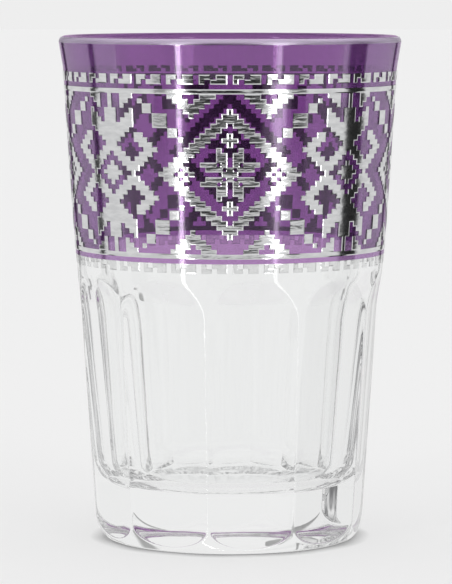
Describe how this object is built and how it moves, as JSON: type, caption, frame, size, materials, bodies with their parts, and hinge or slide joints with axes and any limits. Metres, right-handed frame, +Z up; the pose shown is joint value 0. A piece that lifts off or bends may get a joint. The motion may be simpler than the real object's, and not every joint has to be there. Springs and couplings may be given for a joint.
{
  "type": "moroccan tea glass",
  "caption": "Fluted clear tea tumbler with a heavy base, a violet coated upper wall and a mirror-silver cross-stitch pattern round it.",
  "frame": {"origin": "middle of the ring that the glass stands on, at the level of the table", "axes": "+Z up along the axis of the glass, -Y towards the front, where one large diamond of the pattern faces the viewer, +X to the viewer's right"},
  "size_m": [0.0604, 0.0604, 0.089],
  "materials": {
    "clear_glass": "polished pressed glass",
    "violet_coat": "transparent violet coat",
    "silver_print": "mirror silver print"
  },
  "bodies": {
    "root": {"glass_tumbler": "clear_glass", "purple_coat": "violet_coat", "border_lines": "silver_print", "border_half_diamonds": "silver_print", "hooked_crosses": "silver_print", "cross_centre_diamonds": "silver_print", "large_diamonds": "silver_print", "eight_point_stars": "silver_print", "little_plus_signs": "silver_print", "stair_square_chains": "silver_print", "upper_meander_row": "silver_print", "lower_meander_row": "silver_print"}
  },
  "joints": []
}
